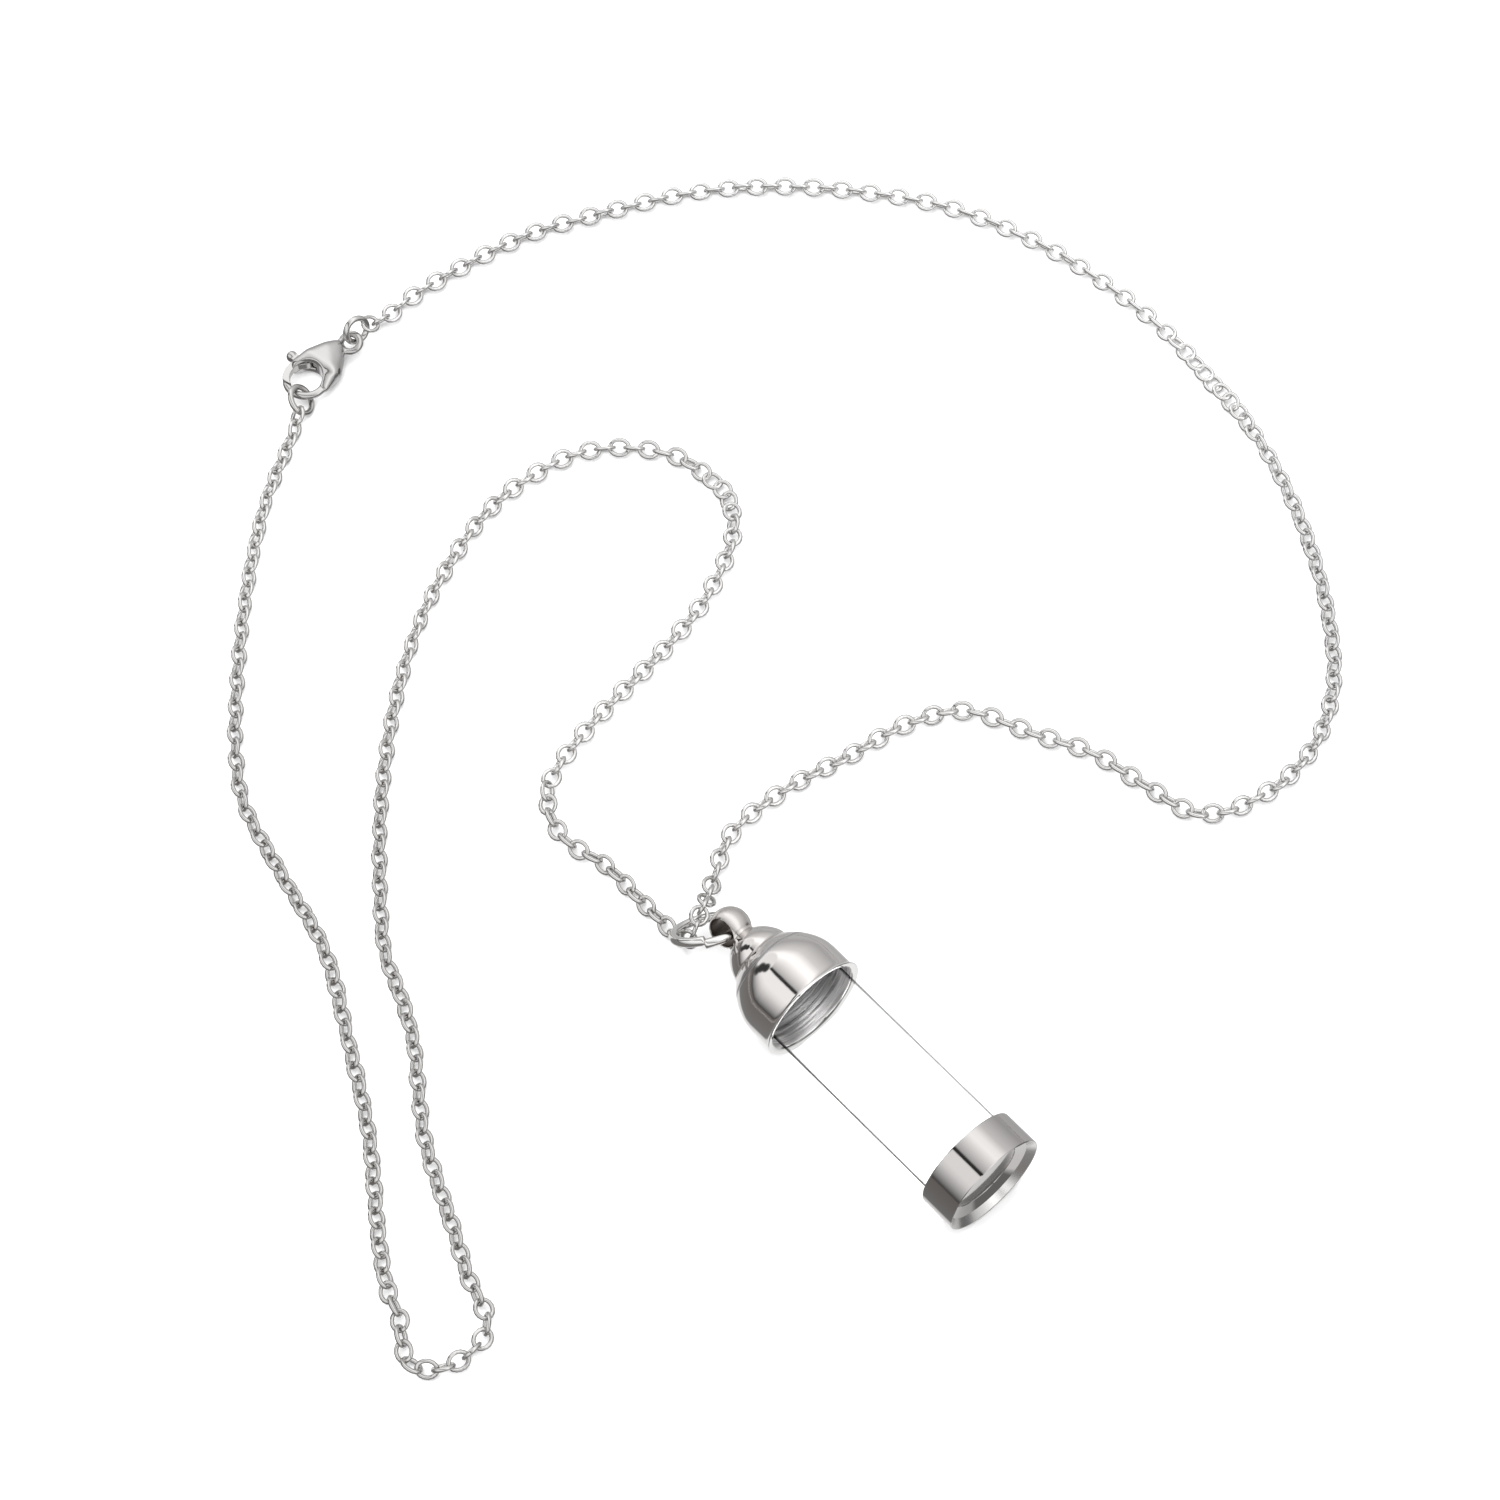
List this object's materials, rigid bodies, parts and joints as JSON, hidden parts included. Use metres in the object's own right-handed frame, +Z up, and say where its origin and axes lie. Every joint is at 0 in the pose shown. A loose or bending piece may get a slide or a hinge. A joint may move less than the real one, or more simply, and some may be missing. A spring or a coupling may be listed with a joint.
{
  "type": "urn necklace",
  "caption": "Glass vial pendant with steel cap and base on a steel cable chain with a lobster clasp, lying in loose curves.",
  "frame": {"origin": "on the floor under the middle of the whole necklace as it lies", "axes": "+Z up, the vial's axis along Y with its base towards -Y, the clasp towards +Y"},
  "size_m": [0.1515, 0.1338, 0.0131],
  "materials": {
    "steel": "polished",
    "glass": "clear"
  },
  "bodies": {
    "necklace": {"cap": "steel", "glass_tube": "glass", "base_cup": "steel", "bail_ring": "steel", "chain_left": "steel", "chain_right": "steel", "clasp_ring": "steel", "clasp_body": "steel", "end_ring": "steel"},
    "lever": {"clasp_lever": "steel"}
  },
  "joints": [
    {"name": "clasp_lever", "type": "hinge", "parent": "necklace", "child": "lever", "pos_m": [-0.00326, 0.06469, 0.0015], "axis": [0, 0, 1], "range_deg": [0, 10], "stiffness_Nm_per_rad": 0.005, "springref_deg": -11.46}
  ]
}
